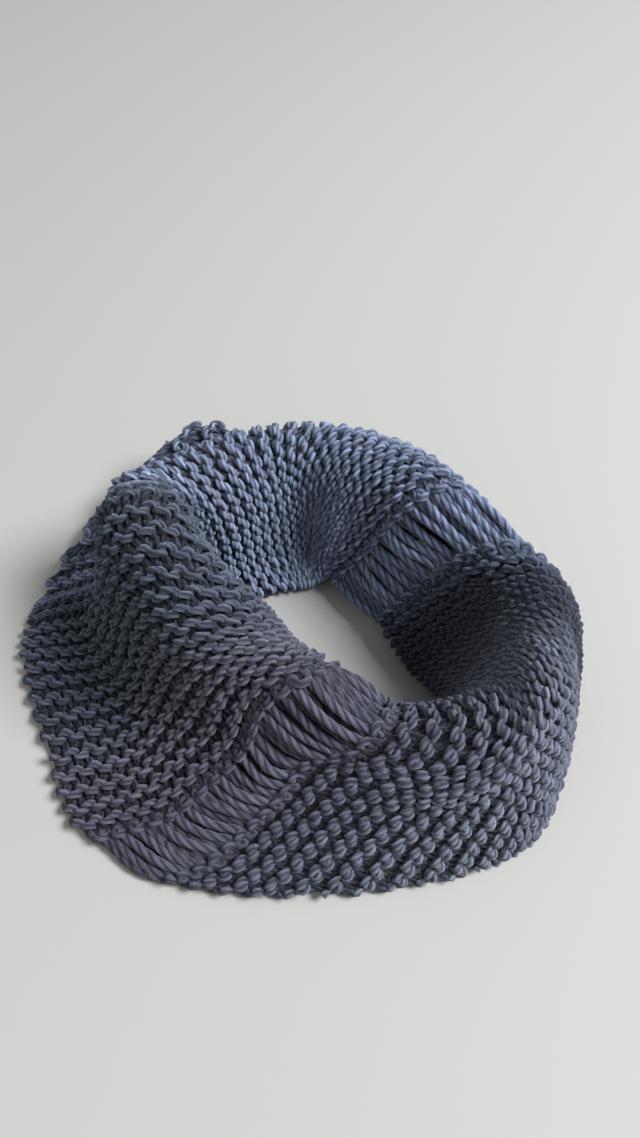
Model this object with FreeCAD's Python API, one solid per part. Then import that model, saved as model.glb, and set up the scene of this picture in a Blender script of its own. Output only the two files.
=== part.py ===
import FreeCAD, Part
import math
import os

os.makedirs("parts", exist_ok=True)

# A hand-knitted cowl lying on a table with its top edge rolled over.
# It is one long garter-stitch strip with two drop-stitch bands, closed into a loop by a seam.
# Millimetres. +X is the long way of the loop, +Z is up, the table is z = 0.

# --- sizes of the knitting ---------------------------------------------------------------
FABRIC_THICKNESS = 7.0
HALF = FABRIC_THICKNESS / 2.0
SEWING_GAP = 0.02
SLOPE_SWEEPS = 200
RIDGES_LEFT = 15
RIDGES_PER_BAND = 4
RIDGES_FRONT = 27
RIDGES_BACK = 23
ACROSS = 21
CENTRE_X = 3.7
CENTRE_Y = 18.1
FLOOR_TRIM = 0.6

BAND_FRONT_START = RIDGES_LEFT
BAND_FRONT_END = BAND_FRONT_START + RIDGES_PER_BAND
BAND_BACK_START = BAND_FRONT_END + RIDGES_FRONT
BAND_BACK_END = BAND_BACK_START + RIDGES_PER_BAND
LOOP_END = BAND_BACK_END + RIDGES_BACK

# the seam and the two edge rows are less than one ridge each
SEAM_END = 0.5
CAST_ON_END = 1.1
BIND_OFF_START = LOOP_END - 0.6

# --- how the strip lies ------------------------------------------------------------------
# One station per named ridge. The nine points go across the strip, from the outer edge on the
# table, up the outer wall, over the rolled rim, down the inner wall to the inner edge.
STATIONS = [
    [0, (-139, 42, 3.5), (-122, 46, 8), (-101, 46, 20), (-90, 62, 54), (-75, 60, 87),
     (-57, 62, 86), (-45, 58, 52), (-43, 50, 16), (-36, 37, 4)],
    [5, (-138, 4, 3.5), (-116, 4, 8), (-95, 3, 17), (-80, 4, 40), (-68, 9, 74),
     (-48, 6, 92), (-20, 9, 77), (-27, 22, 38), (-32, 24, 5)],
    [10, (-114, -48, 3.5), (-94, -43, 8), (-73, -38, 15), (-59, -29, 30), (-48, -23, 56),
     (-29, -25, 81), (-2, -18, 80), (-7, 0, 44), (-13, 7, 5)],
    [15, (-90, -85, 3.3), (-67, -81, 8), (-48, -75, 14), (-30, -63, 24), (-14, -52, 40),
     (-5, -42, 63), (10, -38, 75), (24, -23, 58), (15, -15, 8)],
    [19, (-50, -103, 3), (-27, -95, 9), (-11, -82, 15), (4, -70, 26), (16, -60, 38),
     (33, -59, 48), (46, -52, 58), (53, -38, 46), (42, -24, 8)],
    [24, (22, -109, 1.5), (34, -98, 15), (48, -88, 27), (63, -79, 40), (82, -75, 52),
     (97, -64, 62), (98, -48, 66), (84, -34, 42), (60, -20, 5)],
    [29, (92, -97, 0), (100, -86, 24), (108, -74, 42), (114, -63, 58), (116, -52, 74),
     (113, -38, 78), (106, -28, 60), (92, -26, 32), (78, -23, 7)],
    [34, (126, -74, 0), (129, -61, 24), (129, -50, 46), (128, -40, 66), (123, -28, 81),
     (115, -19, 80), (105, -14, 56), (94, -15, 32), (83, -17, 12)],
    [40, (140, -25, 0), (140, -26, 28), (135, -22, 54), (128, -15, 77), (119, -5, 87),
     (107, -2, 80), (93, -1, 54), (80, -1, 28), (69, 0, 11)],
    [46, (143, 17, 0), (144, 18, 27), (137, 22, 54), (125, 17, 78), (112, 22, 88),
     (96, 25, 83), (80, 29, 60), (65, 29, 34), (51, 28, 12)],
    [50, (124, 53, 0), (125, 54, 27), (114, 56, 53), (98, 59, 76), (83, 61, 87),
     (71, 59, 83), (56, 59, 61), (42, 58, 34), (28, 57, 11)],
    [56, (69, 95, 0), (72, 98, 27), (70, 98, 52), (62, 93, 75), (49, 89, 88),
     (39, 83, 86), (30, 75, 65), (26, 68, 38), (23, 65, 10)],
    [61, (6, 118, 0), (8, 119, 26), (12, 114, 52), (14, 108, 74), (13, 98, 86),
     (11, 91, 79), (13, 82, 50), (17, 69, 16), (17, 58, 5)],
    [67, (-62, 138, 46), (-60, 120, 28), (-53, 104, 32), (-45, 94, 61), (-33, 83, 87),
     (-25, 77, 77), (-16, 72, 42), (-9, 62, 12), (0, 54, 5)],
    [70, (-120, 88, 12), (-105, 84, 11), (-88, 80, 25), (-73, 77, 58), (-56, 71, 88),
     (-43, 67, 79), (-32, 64, 42), (-26, 57, 12), (-21, 47, 5)],
]


def periodic_spline(values, stations, total):
    """Periodic cubic through (station, value): returns the slope at every station."""
    n = len(values)
    steps = []
    for i in range(n):
        nxt = stations[(i + 1) % n]
        if i == n - 1:
            nxt = nxt + total
        steps.append(nxt - stations[i])
    slopes = [0.0] * n
    for sweep in range(SLOPE_SWEEPS):
        for i in range(n):
            before = steps[i - 1]
            after = steps[i]
            rise_after = (values[(i + 1) % n] - values[i]) / after
            rise_before = (values[i] - values[i - 1]) / before
            right = 3.0 * (rise_after / after + rise_before / before)
            left = slopes[i - 1] / before + slopes[(i + 1) % n] / after
            slopes[i] = (right - left) / (2.0 / before + 2.0 / after)
    return slopes, steps


def spline_value(values, slopes, steps, stations, total, ridge):
    n = len(values)
    place = ridge % total
    i = n - 1
    for k in range(n - 1):
        if stations[k] <= place < stations[k + 1]:
            i = k
    t = (place - stations[i]) / steps[i]
    a = values[i]
    b = values[(i + 1) % n]
    da = slopes[i] * steps[i]
    db = slopes[(i + 1) % n] * steps[i]
    t2 = t * t
    t3 = t2 * t
    return a * (2 * t3 - 3 * t2 + 1) + da * (t3 - 2 * t2 + t) + b * (3 * t2 - 2 * t3) + db * (t3 - t2)


station_ridges = [float(s[0]) for s in STATIONS]
tracks = []
for point in range(9):
    track = []
    for axis in range(3):
        values = [float(s[1 + point][axis]) for s in STATIONS]
        slopes, steps = periodic_spline(values, station_ridges, LOOP_END)
        track.append((values, slopes, steps))
    tracks.append(track)


def row_points(ridge, count):
    """Points at equal spacing across the strip at this ridge number."""
    corners = []
    for track in tracks:
        xyz = [spline_value(v, s, h, station_ridges, LOOP_END, ridge) for v, s, h in track]
        corners.append(FreeCAD.Vector(xyz[0] - CENTRE_X, xyz[1] - CENTRE_Y, xyz[2]))
    curve = Part.BSplineCurve()
    curve.interpolate(corners)
    return curve.toShape().discretize(Number=count)


print("rows")
mid_rows = [row_points(float(ridge), ACROSS) for ridge in range(LOOP_END)]
row_count = len(mid_rows)

print("faces of the fabric")
upper_rows = []
lower_rows = []
for i in range(row_count):
    upper = []
    lower = []
    for j in range(ACROSS):
        along = mid_rows[(i + 1) % row_count][j] - mid_rows[i - 1][j]
        j_next = min(j + 1, ACROSS - 1)
        j_last = max(j - 1, 0)
        across = mid_rows[i][j_next] - mid_rows[i][j_last]
        normal = across.cross(along)
        normal.normalize()
        upper.append(mid_rows[i][j] - normal * HALF)
        lower.append(mid_rows[i][j] + normal * HALF)
    upper_rows.append(upper)
    lower_rows.append(lower)
upper_rows.append(upper_rows[0])
lower_rows.append(lower_rows[0])

face_up = Part.BSplineSurface()
face_up.interpolate(upper_rows)
face_down = Part.BSplineSurface()
face_down.interpolate(lower_rows)


def place_of(surface, ridge):
    """Surface parameter of a ridge number; whole ridges sit on the surface's own knots."""
    whole = int(math.floor(ridge))
    if whole >= LOOP_END:
        return surface.getUKnot(LOOP_END + 1)
    start = surface.getUKnot(whole + 1)
    end = surface.getUKnot(whole + 2)
    return start + (end - start) * (ridge - whole)


def face_between(surface, first, last):
    return surface.toShape(place_of(surface, first), place_of(surface, last), 0.0, 1.0)


def rail(surface, first, last, side):
    """The fabric edge along the loop: side 0 is the outer edge, side 1 the inner edge."""
    curve = surface.vIso(float(side))
    return curve.toShape(place_of(surface, first), place_of(surface, last))


def row_edge(surface, ridge):
    return surface.uIso(place_of(surface, ridge)).toShape()


def wall_between(one, other):
    loft = Part.makeLoft([Part.Wire([one]), Part.Wire([other])], False, True)
    return loft.Faces[0]


def strip_piece(first, last):
    """Closed solid of the fabric between two ridge numbers, trimmed flat where it meets the table."""
    faces = [face_between(face_up, first, last), face_between(face_down, first, last)]
    for side in (0, 1):
        faces.append(wall_between(rail(face_up, first, last, side), rail(face_down, first, last, side)))
    for ridge in (first, last):
        faces.append(wall_between(row_edge(face_up, ridge), row_edge(face_down, ridge)))
    shell = Part.makeShell(faces)
    shell.sewShape(SEWING_GAP)
    solid = Part.makeSolid(shell)
    if solid.Volume < 0:
        solid.reverse()

    above_table = Part.makeBox(600, 600, 300, FreeCAD.Vector(-300, -300, FLOOR_TRIM))
    trimmed = solid.common(above_table)
    lumps = sorted(trimmed.Solids, key=lambda lump: lump.Volume)
    piece = lumps[-1]
    piece.translate(FreeCAD.Vector(0, 0, -FLOOR_TRIM))
    return piece


cuts = [
    ("join_seam", 0.0, SEAM_END),
    ("cast_on_edge", SEAM_END, CAST_ON_END),
    ("garter_left_1", CAST_ON_END, 5.0),
    ("garter_left_2", 5.0, 10.0),
    ("garter_left_3", 10.0, BAND_FRONT_START),
    ("drop_stitch_band_front", BAND_FRONT_START, BAND_FRONT_END),
    ("garter_front_1", BAND_FRONT_END, 24.0),
    ("garter_front_2", 24.0, 29.0),
    ("garter_front_3", 29.0, 34.0),
    ("garter_right_1", 34.0, 38.0),
    ("garter_right_2", 38.0, 42.0),
    ("garter_right_3", 42.0, BAND_BACK_START),
    ("drop_stitch_band_back", BAND_BACK_START, BAND_BACK_END),
    ("garter_back_1", BAND_BACK_END, 55.0),
    ("garter_back_2", 55.0, 60.0),
    ("garter_back_3", 60.0, 64.0),
    ("garter_back_4", 64.0, 68.0),
    ("garter_back_5", 68.0, BIND_OFF_START),
    ("bind_off_edge", BIND_OFF_START, float(LOOP_END)),
]

whole = FreeCAD.BoundBox()
pieces = []
for name, first, last in cuts:
    piece = strip_piece(first, last)
    pieces.append((name, piece))
    whole.add(piece.optimalBoundingBox(False))
    piece.exportStep("parts/" + name + ".step")
    print(name, "valid", piece.isValid(), "volume", round(piece.Volume / 1000.0, 1), "cm3")

print("box", whole)
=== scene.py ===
import math
import bmesh
import bpy
import numpy as np
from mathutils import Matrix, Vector


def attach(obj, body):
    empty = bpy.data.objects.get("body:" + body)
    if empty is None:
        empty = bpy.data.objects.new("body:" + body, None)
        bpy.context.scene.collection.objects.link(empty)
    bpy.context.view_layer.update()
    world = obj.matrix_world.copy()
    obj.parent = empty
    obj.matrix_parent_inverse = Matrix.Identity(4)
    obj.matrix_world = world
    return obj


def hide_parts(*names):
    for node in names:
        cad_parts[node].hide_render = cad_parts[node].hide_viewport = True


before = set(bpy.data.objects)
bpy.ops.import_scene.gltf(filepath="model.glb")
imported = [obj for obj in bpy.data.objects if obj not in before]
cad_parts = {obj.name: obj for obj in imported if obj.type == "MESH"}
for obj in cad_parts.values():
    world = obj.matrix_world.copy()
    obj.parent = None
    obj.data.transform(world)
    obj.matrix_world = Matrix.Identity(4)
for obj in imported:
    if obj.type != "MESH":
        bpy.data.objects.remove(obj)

print("packed frame loaded")
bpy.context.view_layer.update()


# ---- how the strip lies: the CAD part's stations, in millimetres
lay = {
    "centre": (3.7, 18.1, 0.6),   # taken off every point, so the loop's box stands centred on the table
    "loopRidges": 73,             # garter ridges once round, each band counted as four
    "gridPerRidge": 4,
    "gridAcross": 120,
    "softenTurns": 6,
    "tableGap": 0.0021,           # the yarn's middle never comes closer to the table than this
    "tableSoft": 0.0010,          # over which the fabric eases down on to it
    "stations": [
        [0, (-139, 42, 3.5), (-122, 46, 8), (-101, 46, 20), (-90, 62, 54), (-75, 60, 87),
         (-57, 62, 86), (-45, 58, 52), (-43, 50, 16), (-36, 37, 4)],
        [5, (-138, 4, 3.5), (-116, 4, 8), (-95, 3, 17), (-80, 4, 40), (-68, 9, 74),
         (-48, 6, 92), (-20, 9, 77), (-27, 22, 38), (-32, 24, 5)],
        [10, (-114, -48, 3.5), (-94, -43, 8), (-73, -38, 15), (-59, -29, 30), (-48, -23, 56),
         (-29, -25, 81), (-2, -18, 80), (-7, 0, 44), (-13, 7, 5)],
        [15, (-90, -85, 3.3), (-67, -81, 8), (-48, -75, 14), (-30, -63, 24), (-14, -52, 40),
         (-5, -42, 63), (10, -38, 75), (24, -23, 58), (15, -15, 8)],
        [19, (-50, -103, 3), (-27, -95, 9), (-11, -82, 15), (4, -70, 26), (16, -60, 38),
         (33, -59, 48), (46, -52, 58), (53, -38, 46), (42, -24, 8)],
        [24, (22, -109, 1.5), (34, -98, 15), (48, -88, 27), (63, -79, 40), (82, -75, 52),
         (97, -64, 62), (98, -48, 66), (84, -34, 42), (60, -20, 5)],
        [29, (92, -97, 0), (100, -86, 24), (108, -74, 42), (114, -63, 58), (116, -52, 74),
         (113, -38, 78), (106, -28, 60), (92, -26, 32), (78, -23, 7)],
        [34, (126, -74, 0), (129, -61, 24), (129, -50, 46), (128, -40, 66), (123, -28, 81),
         (115, -19, 80), (105, -14, 56), (94, -15, 32), (83, -17, 12)],
        [40, (140, -25, 0), (140, -26, 28), (135, -22, 54), (128, -15, 77), (119, -5, 87),
         (107, -2, 80), (93, -1, 54), (80, -1, 28), (69, 0, 11)],
        [46, (143, 17, 0), (144, 18, 27), (137, 22, 54), (125, 17, 78), (112, 22, 88),
         (96, 25, 83), (80, 29, 60), (65, 29, 34), (51, 28, 12)],
        [50, (124, 53, 0), (125, 54, 27), (114, 56, 53), (98, 59, 76), (83, 61, 87),
         (71, 59, 83), (56, 59, 61), (42, 58, 34), (28, 57, 11)],
        [56, (69, 95, 0), (72, 98, 27), (70, 98, 52), (62, 93, 75), (49, 89, 88),
         (39, 83, 86), (30, 75, 65), (26, 68, 38), (23, 65, 10)],
        [61, (6, 118, 0), (8, 119, 26), (12, 114, 52), (14, 108, 74), (13, 98, 86),
         (11, 91, 79), (13, 82, 50), (17, 69, 16), (17, 58, 5)],
        [67, (-62, 138, 46), (-60, 120, 28), (-53, 104, 32), (-45, 94, 61), (-33, 83, 87),
         (-25, 77, 77), (-16, 72, 42), (-9, 62, 12), (0, 54, 5)],
        [70, (-120, 88, 12), (-105, 84, 11), (-88, 80, 25), (-73, 77, 58), (-56, 71, 88),
         (-43, 67, 79), (-32, 64, 42), (-26, 57, 12), (-21, 47, 5)],
    ],
}


def cubicSlopes(places, values, loop=None):
    # slopes of a smooth cubic through the values, either closed on itself or loose at both ends
    n = len(places)
    gaps = list(np.diff(places)) + ([loop - places[-1] + places[0]] if loop else [])
    left, right = np.zeros((n, n)), np.zeros((n, values[0].size))
    flat = [np.asarray(v, float).ravel() for v in values]
    for i in range(n):
        if not loop and i in (0, n - 1):
            a, b = (0, 1) if i == 0 else (n - 2, n - 1)
            left[i, i], left[i, b if i == 0 else a] = 2, 1
            right[i] = 3 * (flat[b] - flat[a]) / gaps[a]
            continue
        before, after = gaps[i - 1], gaps[i]
        left[i, (i - 1) % n] += 1 / before
        left[i, i] += 2 / before + 2 / after
        left[i, (i + 1) % n] += 1 / after
        right[i] = 3 * ((flat[i] - flat[i - 1]) / before**2 + (flat[(i + 1) % n] - flat[i]) / after**2)
    return np.linalg.solve(left, right).reshape((n,) + np.shape(values[0]))


def cubicAt(places, values, slopes, at, loop=None):
    places, values = np.asarray(places, float), np.asarray(values, float)
    if loop:
        at = np.asarray(at) % loop
        places = np.append(places, loop + places[0])
        values = np.concatenate([values, values[:1]])
        slopes = np.concatenate([slopes, slopes[:1]])
    i = np.clip(np.searchsorted(places, at, side="right") - 1, 0, len(places) - 2)
    gap = places[i + 1] - places[i]
    t = (at - places[i]) / gap
    more = (slice(None),) + (None,) * (values.ndim - 1)
    t, gap = t[more], gap[more]
    return (values[i] * (2 * t**3 - 3 * t**2 + 1) + slopes[i] * gap * (t**3 - 2 * t**2 + t)
            + values[i + 1] * (3 * t**2 - 2 * t**3) + slopes[i + 1] * gap * (t**3 - t**2))


stationRidges = [s[0] for s in lay["stations"]]
stationPoints = (np.array([s[1:] for s in lay["stations"]], float) - lay["centre"]) / 1000
ridgeGrid = np.arange(0, lay["loopRidges"], 1 / lay["gridPerRidge"])
stationSlopes = cubicSlopes(stationRidges, list(stationPoints), lay["loopRidges"])
tracks = cubicAt(stationRidges, stationPoints, stationSlopes, ridgeGrid, lay["loopRidges"])

clothGrid = np.zeros((len(ridgeGrid), lay["gridAcross"] + 1, 3))
rowWidths = np.zeros(len(ridgeGrid))
for i, nine in enumerate(tracks):
    reach = np.append(0, np.cumsum(np.linalg.norm(np.diff(nine, axis=0), axis=1)))
    dense = cubicAt(reach, nine, cubicSlopes(reach, list(nine)), np.linspace(0, reach[-1] * 0.999999, 400))
    walked = np.append(0, np.cumsum(np.linalg.norm(np.diff(dense, axis=0), axis=1)))
    even = np.linspace(0, walked[-1], lay["gridAcross"] + 1)
    clothGrid[i] = np.stack([np.interp(even, walked, dense[:, k]) for k in range(3)], axis=1)
    rowWidths[i] = walked[-1]

def onTable(height):
    # eases anything that would sink below the table so that it rests on it
    over = (height - lay["tableGap"]) / lay["tableSoft"]
    return lay["tableGap"] + lay["tableSoft"] * np.logaddexp(0, over)


clothGrid[..., 2] = onTable(clothGrid[..., 2])
alongGrid = np.roll(clothGrid, -1, axis=0) - np.roll(clothGrid, 1, axis=0)
acrossGrid = np.gradient(clothGrid, axis=1)
normalGrid = np.cross(alongGrid, acrossGrid)
for turn in range(lay["softenTurns"]):   # soften, so a tight fold doesn't throw the yarn about
    normalGrid /= np.linalg.norm(normalGrid, axis=2, keepdims=True)
    normalGrid = normalGrid + np.roll(normalGrid, 1, axis=0) + np.roll(normalGrid, -1, axis=0)
    edged = np.pad(normalGrid, ((0, 0), (1, 1), (0, 0)), mode="edge")
    normalGrid = edged[:, :-2] + edged[:, 1:-1] + edged[:, 2:]
normalGrid /= np.linalg.norm(normalGrid, axis=2, keepdims=True)


def onCloth(ridge, across, lift):
    # place on the lying strip: ridge number round the loop, 0 to 1 from outer to inner edge, metres of lift
    r = (np.asarray(ridge, float) % lay["loopRidges"]) * lay["gridPerRidge"]
    a = np.clip(np.asarray(across, float), -0.02, 1.02) * lay["gridAcross"]
    i, j = np.floor(r).astype(int), np.clip(np.floor(a).astype(int), 0, lay["gridAcross"] - 1)
    fr, fa = (r - i)[..., None], (a - j)[..., None]
    i, iNext = i % len(ridgeGrid), (i + 1) % len(ridgeGrid)
    def blend(grid):
        return ((grid[i, j] * (1 - fa) + grid[i, j + 1] * fa) * (1 - fr)
                + (grid[iNext, j] * (1 - fa) + grid[iNext, j + 1] * fa) * fr)
    place = blend(clothGrid) + blend(normalGrid) * np.asarray(lift, float)[..., None]
    place[..., 2] = onTable(place[..., 2])
    return place


print("strip laid out, mean width", round(float(rowWidths.mean()), 4))

# ---- yarn
yarn = {
    "stitchesAcross": 24,
    "samplesPerStitch": 24,
    "plyPeak": 0.00212,        # from the yarn's middle to the back of a ply
    "plyGroove": 0.00156,      # and to the groove between two plies
    "plyTurn": 0.0210,         # one full turn of the three plies, a soft low twist
    "loopWide": 0.17,          # share of a stitch's width that a loop bows out to each side
    "loopTall": 0.84,          # share of a row's height that a loop reaches each way
    "ridgeLift": 0.0026,       # how far the ridges stand out on each face
    "weaveLift": 0.0009,       # how far the legs pass over and under
    "uneven": 0.00034,
    "turnOut": 0.0016,         # how far the yarn bulges out where it turns back at a selvedge
    "edgeMargin": 0.3,         # stitches left free at each side of a row
    "tallDrift": 0.06, "wideDrift": 0.03, "driftStep": 11, "wideStep": 16,
    "loosePeak": 0.00228, "looseGroove": 0.00178,   # the same yarn where it hangs loose in the bands
    "turnTall": 0.10,          # and how far that turn overshoots along the selvedge, in ridges
}
rng = np.random.default_rng(14)


def yarnProfile(name, count, peak, groove):
    # cut through three plies twisted together
    curve = bpy.data.curves.new(name, "CURVE")
    curve.dimensions = "2D"
    spline = curve.splines.new("POLY")
    spline.points.add(count - 1)
    for k, point in enumerate(spline.points):
        angle = 2 * math.pi * k / count
        size = groove + (peak - groove) * abs(math.cos(1.5 * angle))
        point.co = (size * math.cos(angle), size * math.sin(angle), 0, 1)
    spline.use_cyclic_u = True
    made = bpy.data.objects.new(name, curve)
    bpy.context.scene.collection.objects.link(made)
    return made


sixSided = yarnProfile("yarnCutFine", 6, yarn["plyPeak"], yarn["plyGroove"])
twelveSided = yarnProfile("yarnCutClose", 12, yarn["loosePeak"], yarn["looseGroove"])


def spinYarn(name, paths, dyes, heights, profile, node=None):
    # one piece of yarn: a curve through the path, swept with the three-ply cut and twisted as it goes
    curve = bpy.data.curves.new(name, "CURVE")
    curve.dimensions = "3D"
    curve.twist_mode = "MINIMUM"
    curve.bevel_mode = "OBJECT"
    curve.bevel_object = profile
    runs = []
    for path in paths:
        spline = curve.splines.new("POLY")
        spline.points.add(len(path) - 1)
        spline.points.foreach_set("co", np.append(path, np.ones((len(path), 1)), axis=1).ravel())
        run = np.append(0, np.cumsum(np.linalg.norm(np.diff(path, axis=0), axis=1)))
        spline.points.foreach_set("tilt", 2 * math.pi * run / yarn["plyTurn"])
        runs.append(run)
    holder = bpy.data.objects.new(name + "Path", curve)
    bpy.context.scene.collection.objects.link(holder)
    bpy.context.view_layer.update()
    mesh = bpy.data.meshes.new_from_object(holder.evaluated_get(bpy.context.evaluated_depsgraph_get()))
    bpy.data.objects.remove(holder)
    sides = len(profile.data.splines[0].points)
    total = sum(len(p) for p in paths)
    if len(mesh.vertices) != total * sides:
        raise RuntimeError(f"{name}: {len(mesh.vertices)} corners for {total} rings of {sides}")
    dye = np.repeat(np.concatenate(dyes), sides)
    height = np.repeat(np.concatenate(heights), sides)
    angle = np.tile(np.arange(sides) * 2 * math.pi / sides, total)
    grain = np.stack([np.repeat(np.concatenate(runs), sides), np.cos(angle), np.sin(angle)], axis=1)
    mesh.attributes.new("dye", "FLOAT", "POINT").data.foreach_set("value", dye)
    mesh.attributes.new("height", "FLOAT", "POINT").data.foreach_set("value", height)
    mesh.attributes.new("grain", "FLOAT_VECTOR", "POINT").data.foreach_set("vector", grain.ravel())
    mesh.attributes.new("groove", "FLOAT", "POINT").data.foreach_set("value", 1 - np.abs(np.cos(1.5 * angle)))
    shaped = bmesh.new()   # the yarn's two cut ends are closed
    shaped.from_mesh(mesh)
    bmesh.ops.holes_fill(shaped, edges=[e for e in shaped.edges if e.is_boundary], sides=0)
    shaped.to_mesh(mesh)
    shaped.free()
    mesh.shade_smooth()
    mesh.name = name
    piece = bpy.data.objects.new(name, mesh)
    bpy.context.scene.collection.objects.link(piece)
    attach(piece, "root")
    if node:
        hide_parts(node)
    return piece


def wander(count, step, size):
    # smooth uneven drift, as a hand knitter's tension gives
    knots = rng.normal(0, size, int(count / step) + 4)
    return np.interp(np.arange(count) / step, np.arange(len(knots)), knots)


def knitRow(row, backwards):
    # one garter row: loops up and down across the strip; every second row is turned over
    stitches = yarn["stitchesAcross"]
    samples = stitches * yarn["samplesPerStitch"] + 1
    t = np.linspace(math.pi, 2 * math.pi * stitches + math.pi, samples)
    ridge = (row + 0.5) / 2
    face = 1 if row % 2 else -1
    width = t / (2 * math.pi) - 0.5 + yarn["loopWide"] * np.sin(2 * t)
    tall = yarn["loopTall"] * (1 + wander(samples, yarn["driftStep"], yarn["tallDrift"]))
    up = ridge + 0.5 * tall * np.cos(t)
    lift = face * (yarn["ridgeLift"] * np.cos(t) + yarn["weaveLift"] * np.cos(3 * t))
    lift = lift + wander(samples, yarn["driftStep"], yarn["uneven"])
    sideways = wander(samples, yarn["wideStep"], yarn["wideDrift"])
    across = (width + yarn["edgeMargin"] + sideways) / (stitches + 2 * yarn["edgeMargin"])
    if backwards:
        up, across, lift = up[::-1], across[::-1], lift[::-1]
    return up, across, lift


def knitRows(first, last):
    # yarn goes to and fro; at each selvedge it turns up into the next row
    ups, acrosses, lifts = [], [], []
    for row in range(first, last):
        up, across, lift = knitRow(row, row % 2 == 1)
        if ups:
            side = 1 if across[0] > 0.5 else -1
            s = np.linspace(0, 1, 9)[1:-1]
            bulge = side * yarn["turnOut"] / float(rowWidths.mean()) * np.sin(math.pi * s)
            ups.append(ups[-1][-1] * (1 - s) + up[0] * s - yarn["turnTall"] * np.sin(2 * math.pi * s))
            acrosses.append(acrosses[-1][-1] * (1 - s) + across[0] * s + bulge)
            lifts.append(lifts[-1][-1] * (1 - s) + lift[0] * s)
        ups.append(up), acrosses.append(across), lifts.append(lift)
    up, lift = np.concatenate(ups), np.concatenate(lifts)
    # the material turns this into painted shade where the yarn dives in and a painted highlight on the ridges
    height = np.abs(lift) / yarn["ridgeLift"]   # 0 where the yarn dives through the fabric, 1 on a ridge
    return onCloth(up, np.concatenate(acrosses), lift), up / lay["loopRidges"], height


garter = {   # CAD node: first ridge, last ridge, record slot
    "garter_left_1": (1, 5, "yarn_charcoal"),
    "garter_left_2": (5, 10, "yarn_charcoal"),
    "garter_left_3": (10, 15, "yarn_brown_grey"),
    "garter_front_1": (19, 24, "yarn_grey"),
    "garter_front_2": (24, 29, "yarn_grey"),
    "garter_front_3": (29, 34, "yarn_grey"),
    "garter_right_1": (34, 38, "yarn_slate"),
    "garter_right_2": (38, 42, "yarn_slate"),
    "garter_right_3": (42, 46, "yarn_slate"),
    "garter_back_1": (50, 55, "yarn_blue_grey"),
    "garter_back_2": (55, 60, "yarn_blue_grey"),
    "garter_back_3": (60, 64, "yarn_blue_grey"),
    "garter_back_4": (64, 68, "yarn_lavender_grey"),
    "garter_back_5": (68, 72.5, "yarn_lavender_grey"),
}
yarnPieces = []
for node, (first, last, slot) in garter.items():
    path, dye, height = knitRows(int(first * 2), int(last * 2))
    yarnPieces.append(spinYarn(node + "_yarn", [path], [dye], [height], sixSided, node))
print("garter rows knitted")

# ---- drop-stitch bands: one row of very tall loops, so their legs lie side by side as loose strands
band = {
    "samplesPerLeg": 44,
    "strandPitch": 0.0034, # strands keep the yarn's thickness, so a wider part of the strip holds more
    "gather": 0.0009,      # how far neighbouring strands draw together into bunches
    "stray": 0.0008,       # and how far each one strays by itself
    "layer": 0.0015,       # every second strand lies under the others, so the gaps stay dark
    "slack": 0.0017,
    "rounding": 5, "heightMiddle": 0.55, "heightSpan": 0.0036,
    "slant": 0.0012,       # neighbouring strands lean the same way
    "hook": 0.42,          # ridges that a strand's loop reaches into the garter rows each side
}


def dropBand(node, first, last, seed):
    local = np.random.default_rng(seed)
    legs = band["samplesPerLeg"]
    width = float(rowWidths[int(first * lay["gridPerRidge"]):int(last * lay["gridPerRidge"])].mean())
    stitches = round(width / band["strandPitch"] / 2)
    print(node, "strip width", round(width, 3), "strands", 2 * stitches)
    low, high = first - band["hook"], last + band["hook"]
    bunches = np.interp(np.arange(2 * stitches) / 5, np.arange(16), local.normal(0, 1, 16))
    slants = np.interp(np.arange(2 * stitches) / 7, np.arange(16), local.normal(0, 1, 16))
    ups, acrosses, lifts = [], [], []
    for leg in range(2 * stitches):
        s = np.linspace(0, 1, legs, endpoint=False)
        rise = s if leg % 2 == 0 else 1 - s
        bell = np.sin(math.pi * s) ** 2
        aside = bunches[leg] * band["gather"] + local.normal(0, band["stray"])
        wave = (slants[leg] * band["slant"] + local.normal(0, band["stray"])) * np.sin(2 * math.pi * rise)
        under = (1 if leg % 2 else -1) * band["layer"] * bell
        ups.append(low + (high - low) * (0.65 * rise + 0.175 * (1 - np.cos(math.pi * rise))))
        seat = (leg / 2 + 0.25 + yarn["edgeMargin"]) / (stitches + 2 * yarn["edgeMargin"])
        acrosses.append(seat + (aside * bell + wave) / width)
        lifts.append(under + band["slack"] * bell * local.normal(0.2, 0.8))
    up, across, lift = np.concatenate(ups), np.concatenate(acrosses), np.concatenate(lifts)
    for turn in range(band["rounding"]):   # rounds the tops and bottoms of the loops
        for line in (up, across, lift):
            line[1:-1] = (line[:-2] + 2 * line[1:-1] + line[2:]) / 4
    # how far a strand lies under or over the others, which the material turns into painted shade on the under
    # strands and a painted highlight on the over strands
    height = np.clip(band["heightMiddle"] + lift / band["heightSpan"], 0, 1)
    return spinYarn(node + "_strands", [onCloth(up, across, lift)], [up / lay["loopRidges"]], [height],
                    twelveSided, node)


yarnPieces.append(dropBand("drop_stitch_band_front", 15, 19, 21))
yarnPieces.append(dropBand("drop_stitch_band_back", 46, 50, 8))
print("drop-stitch bands strung")

# ---- edges and seam
edges = {"chainPitch": 0.0072, "chainReach": 0.0011, "seamPitch": 0.0080, "seamReach": 0.0019,
         "ridgeSize": 0.009, "sample": 0.001}


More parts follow.
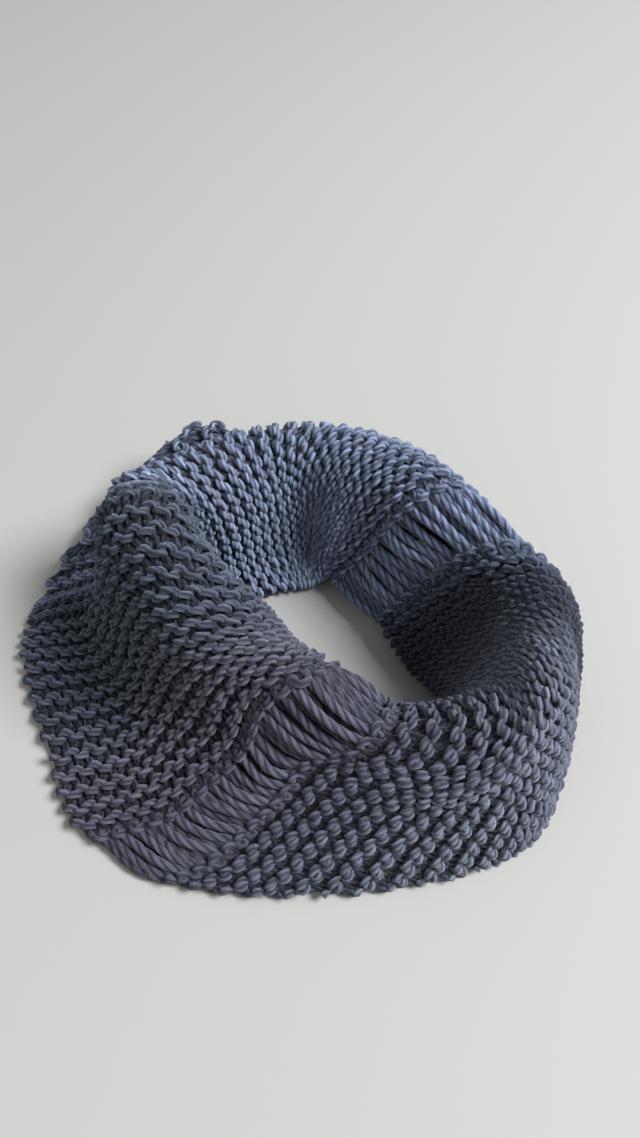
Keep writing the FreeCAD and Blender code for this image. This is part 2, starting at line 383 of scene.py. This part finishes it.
def chainEdge(node, ridge, strands, reach, pitch):
    # strands winding round each other along the strip's end
    width = float(rowWidths.mean())
    t = np.linspace(0, 2 * math.pi * width / pitch, int(width / edges["sample"]))
    across = np.linspace(0.0, 1.0, len(t))
    paths, dyes = [], []
    for k in range(strands):
        phase = 2 * math.pi * k / strands
        up = ridge + reach / edges["ridgeSize"] * np.cos(t + phase)
        paths.append(onCloth(up, across, reach * np.sin(t + phase)))
        dyes.append(np.full(len(t), ridge / lay["loopRidges"]))
    # every edge strand gets one middle value, which the material turns into a fixed share of painted crevice
    # shade
    return spinYarn(node + "_yarn", paths, dyes, [np.full(len(t), 0.7)] * strands, sixSided, node)


for node, ridge, slot, strands, kind in (("cast_on_edge", 0.75, "yarn_charcoal", 2, "chain"),
                                         ("bind_off_edge", 72.7, "yarn_lavender_grey", 2, "chain"),
                                         ("join_seam", 0.25, "yarn_charcoal", 1, "seam")):
    yarnPieces.append(chainEdge(node, ridge, strands, edges[kind + "Reach"], edges[kind + "Pitch"]))
print("edges chained and seam sewn")

# ---- a dark backing sheet through the middle of the fabric: painted shade, which closes the gaps between loops with the darkness of the shade behind them
backingLayout = {"acrossCells": 54, "cellsPerRidge": 1,
          "spans": [(0, 15), (19, 46), (50, 73)], "ridgeFlat": 0.0082, "widthFlat": 0.206}


def layShadeBacking():
    whole = bmesh.new()
    whole.verts.layers.float.new("dye")
    for first, last in backingLayout["spans"]:
        part = bmesh.new()
        cells = (last - first) * backingLayout["cellsPerRidge"]
        bmesh.ops.create_grid(part, x_segments=cells, y_segments=backingLayout["acrossCells"], size=0.5)
        layer = part.verts.layers.float.new("dye")
        for vert in part.verts:
            ridge = first + (vert.co.x + 0.5) * (last - first)
            place = onCloth(min(ridge, lay["loopRidges"] - 0.001), 0.01 + 0.98 * (vert.co.y + 0.5), 0.0)
            vert[layer] = ridge / lay["loopRidges"]
            vert.co = Vector(place)
        held = bpy.data.meshes.new("backingPart")
        part.to_mesh(held)
        whole.from_mesh(held)
        part.free()
        bpy.data.meshes.remove(held)
    mesh = bpy.data.meshes.new("painted_shade_backing")
    whole.to_mesh(mesh)
    whole.free()
    mesh.shade_smooth()
    piece = bpy.data.objects.new("painted_shade_backing", mesh)
    bpy.context.scene.collection.objects.link(piece)
    return piece


shadeBackingSheet = layShadeBacking()
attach(shadeBackingSheet, "root")
print("ground laid")

# ---- stray fibres, the soft halo of brushed-up wool
fuzz = {"fibres": 8000, "length": 0.0060, "thick": 0.00008, "lean": 0.8}


def strayFibres():
    curve = bpy.data.curves.new("stray_fibres", "CURVE")
    curve.dimensions = "3D"
    curve.bevel_depth = fuzz["thick"]
    curve.bevel_resolution = 0
    sizes = np.array([len(piece.data.vertices) for piece in yarnPieces], float)
    dyes = []
    for piece, share in zip(yarnPieces, sizes / sizes.sum()):
        count = int(fuzz["fibres"] * share)
        for k in rng.integers(0, len(piece.data.vertices), count):
            root, out = piece.data.vertices[k].co, piece.data.vertices[k].normal
            aside = Vector(rng.normal(0, 1, 3)).cross(out).normalized()
            size = fuzz["length"] * float(rng.uniform(0.4, 1.3))
            curl = Vector(rng.normal(0, 1, 3)) * size * 0.22
            spline = curve.splines.new("POLY")
            spline.points.add(3)
            for point, t in zip(spline.points, (0.0, 0.35, 0.7, 1.0)):
                at = root + (out * (0.55 * t - 0.25 * t * t) + aside * fuzz["lean"] * t) * size + curl * t * t
                point.co = (at.x, at.y, max(at.z, 0.0003), 1)
                point.radius = 1.0 - 0.6 * t
            dyes.append(piece.data.attributes["dye"].data[k].value)
    holder = bpy.data.objects.new("fibrePath", curve)
    bpy.context.scene.collection.objects.link(holder)
    bpy.context.view_layer.update()
    mesh = bpy.data.meshes.new_from_object(holder.evaluated_get(bpy.context.evaluated_depsgraph_get()))
    bpy.data.objects.remove(holder)
    each = len(mesh.vertices) // len(dyes)
    mesh.attributes.new("dye", "FLOAT", "POINT").data.foreach_set("value", np.repeat(dyes, each))
    mesh.shade_smooth()
    piece = bpy.data.objects.new("stray_fibres", mesh)
    bpy.context.scene.collection.objects.link(piece)
    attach(piece, "root")
    return piece


halo = strayFibres()
print("fibres brushed up")

for spare in (sixSided, twelveSided):
    bpy.data.objects.remove(spare)


# ---- materials
def linear(hexText):
    parts = [int(hexText[i:i + 2], 16) / 255 for i in (1, 3, 5)]
    return [p / 12.92 if p <= 0.04045 else ((p + 0.055) / 1.055) ** 2.4 for p in parts] + [1.0]


def addNode(tree, kind, settings=None, **links):
    # settings: node fields by name, sockets by number or name; links: socket name = (node, output)
    node = tree.nodes.new(kind)
    for key, value in (settings or {}).items():
        if isinstance(key, str) and hasattr(node, key):
            setattr(node, key, value)
        else:
            node.inputs[key].default_value = value
    for key, source in links.items():
        byNumber = key[0] == "i" and key[1:].isdigit()
        socket = node.inputs[int(key[1:]) if byNumber else key.replace("_", " ")]
        tree.links.new(socket, source[0].outputs[source[1]])
    return node


dyes = [   # share of the way round from the seam, colour of the self-striping yarn, with painted shade in two of the stops
    (0.000, "#4e5560"), (0.090, "#444b56"), (0.160, "#54545d"), (0.215, "#46454f"),
    (0.270, "#4a4b56"),
    # the stops at 0.560 and 0.605 are partly the yarn's darker stretch and partly painted shade, as dark as
    # the shade on the inside of the right-hand wall
    (0.380, "#666a76"), (0.480, "#50555f"), (0.560, "#272b33"), (0.605, "#2e333d"), (0.650, "#6a748a"),
    (0.720, "#667084"), (0.800, "#697489"), (0.930, "#727c90"), (0.999, "#757f92"),
]


def plyYarn(name, darker, paintShade):
    # worsted-spun acrylic and wool, three plies: matt, with a pale halo at glancing angles,
    # painted shade in the grooves between the plies and where the yarn dives in, painted highlight on the ply
    # backs
    material = bpy.data.materials.new(name)
    material.use_nodes = True
    tree = material.node_tree
    tree.nodes.clear()
    dye = addNode(tree, "ShaderNodeAttribute", {"attribute_name": "dye"})
    ramp = addNode(tree, "ShaderNodeValToRGB", {}, Fac=(dye, "Fac"))
    stops = ramp.color_ramp.elements
    while len(stops) < len(dyes):
        stops.new(0.5)
    for stop, (place, shade) in zip(stops, dyes):
        stop.position = place
        stop.color = linear(shade)
    grain = addNode(tree, "ShaderNodeAttribute", {"attribute_name": "grain"})
    # fibres about 0.8 mm wide and 8 mm long, drawn coarser than real so that they show
    stretch = addNode(tree, "ShaderNodeVectorMath", {"operation": "MULTIPLY", 1: (120.0, 3.0, 3.0)},
                      i0=(grain, "Vector"))
    fibres = addNode(tree, "ShaderNodeTexNoise", {"Scale": 1.0, "Detail": 4.0, "Roughness": 0.7},
                     Vector=(stretch, 0))
    place = addNode(tree, "ShaderNodeTexCoord")
    # heather flecks and uneven dye, patches about 6 mm
    fleck = addNode(tree, "ShaderNodeTexNoise", {"Scale": 160.0, "Detail": 2.0}, Vector=(place, "Object"))
    tone = addNode(tree, "ShaderNodeMapRange", {1: 0.3, 2: 0.7, 3: 0.36, 4: 1.68}, i0=(fibres, 0))
    toneTwo = addNode(tree, "ShaderNodeMapRange", {1: 0.3, 2: 0.7, 3: 0.88, 4: 1.12}, i0=(fleck, 0))
    both = addNode(tree, "ShaderNodeMath", {"operation": "MULTIPLY"}, i0=(tone, 0), i1=(toneTwo, 0))
    last = both
    if paintShade:
        # painted shade in the grooves between the plies and a painted highlight on the ply backs
        hollow = addNode(tree, "ShaderNodeAttribute", {"attribute_name": "groove"})
        shade = addNode(tree, "ShaderNodeMapRange", {1: 0.0, 2: 1.0, 3: 1.30, 4: 0.26}, i0=(hollow, "Fac"))
        plyShadePainted = addNode(tree, "ShaderNodeMath", {"operation": "MULTIPLY"}, i0=(both, 0), i1=(shade, 0))
        # painted shade and highlight: the yarn's colour is darkened where it dives into the fabric, into the
        # shade between the stitches, and lightened on the ridges
        height = addNode(tree, "ShaderNodeAttribute", {"attribute_name": "height"})
        paintedCreviceShade = addNode(tree, "ShaderNodeMapRange", {1: 0.05, 2: 1.0, 3: 0.36, 4: 1.22}, i0=(height, "Fac"))
        last = addNode(tree, "ShaderNodeMath", {"operation": "MULTIPLY"}, i0=(plyShadePainted, 0), i1=(paintedCreviceShade, 0))
    dim = addNode(tree, "ShaderNodeMath", {"operation": "MULTIPLY", 1: darker}, i0=(last, 0))
    colour = addNode(tree, "ShaderNodeVectorMath", {"operation": "SCALE"}, i0=(ramp, 0), Scale=(dim, 0))
    bump = addNode(tree, "ShaderNodeBump", {"Strength": 0.9, "Distance": 0.0006}, Height=(fibres, 0))
    shader = addNode(tree, "ShaderNodeBsdfPrincipled", {"Roughness": 0.92, "Specular IOR Level": 0.1,
                     "Sheen Weight": 0.3, "Sheen Roughness": 0.45, "Sheen Tint": linear("#c9cede")},
                     Base_Color=(colour, 0), Normal=(bump, 0))
    addNode(tree, "ShaderNodeOutputMaterial", {}, Surface=(shader, 0))
    return material


spunYarn = plyYarn("threePlyAcrylicWoolYarn", 1.0, True)
# painted shade: the backing sheet is the yarn's colour dimmed to 0.18
backingShadePaint = plyYarn("paintedShadeBacking", 0.18, False)
for piece in yarnPieces:
    piece.data.materials.clear()
    piece.data.materials.append(spunYarn)
shadeBackingSheet.data.materials.append(backingShadePaint)
halo.data.materials.append(plyYarn("looseWoolFibre", 1.5, False))
print("yarn material spun")

# ---- floor, light and camera
studio = {
    "floorShade": "#abaaa2",
    "skyShade": "#dfe3ea", "skyPower": 0.54,
    "keyPower": 135.0, "keyPlace": (1.80, -0.20, 2.15), "keySize": 1.1,
    "fillPower": 1.5, "fillPlace": (-0.5, -0.7, 0.9), "fillSize": 1.2,
}
table = bmesh.new()
bmesh.ops.create_grid(table, x_segments=1, y_segments=1, size=3.0)
floorMesh = bpy.data.meshes.new("floor")
table.to_mesh(floorMesh)
table.free()
floor = bpy.data.objects.new("floor", floorMesh)
bpy.context.scene.collection.objects.link(floor)
floorPaint = bpy.data.materials.new("paleMattFloor")   # plain matt board, so only the soft shadow shows
floorPaint.use_nodes = True
floorShader = floorPaint.node_tree.nodes["Principled BSDF"]
floorShader.inputs["Base Color"].default_value = linear(studio["floorShade"])
floorShader.inputs["Roughness"].default_value = 0.8
floorMesh.materials.append(floorPaint)

world = bpy.data.worlds.new("studioSky")
bpy.context.scene.world = world
world.use_nodes = True
sky = world.node_tree.nodes["Background"]
sky.inputs["Color"].default_value = linear(studio["skyShade"])
sky.inputs["Strength"].default_value = studio["skyPower"]


def softLight(name, place, size, power, shade):
    data = bpy.data.lights.new(name, "AREA")
    data.shape = "DISK"
    data.size = size
    data.energy = power
    data.color = linear(shade)[:3]
    lamp = bpy.data.objects.new(name, data)
    lamp.location = place
    lamp.rotation_euler = (Vector((0, 0, 0.03)) - Vector(place)).to_track_quat("-Z", "Y").to_euler()
    bpy.context.scene.collection.objects.link(lamp)
    return lamp


softLight("windowSide", studio["keyPlace"], studio["keySize"], studio["keyPower"], "#f4f6ff")
softLight("roomSide", studio["fillPlace"], studio["fillSize"], studio["fillPower"], "#fff4e8")

viewFrom = {"lens": 26, "sensor": 36, "place": (0.0163, -0.2161, 0.3944), "tilt": 34.4}
cameraData = bpy.data.cameras.new("view")
cameraData.lens = viewFrom["lens"]
cameraData.sensor_width = viewFrom["sensor"]
cameraData.clip_start = 0.01
camera = bpy.data.objects.new("view", cameraData)
camera.location = viewFrom["place"]
camera.rotation_euler = (math.radians(viewFrom["tilt"]), 0, 0)
bpy.context.scene.collection.objects.link(camera)
bpy.context.scene.camera = camera
bpy.context.scene.view_settings.view_transform = "Standard"
print("floor, light and camera set")
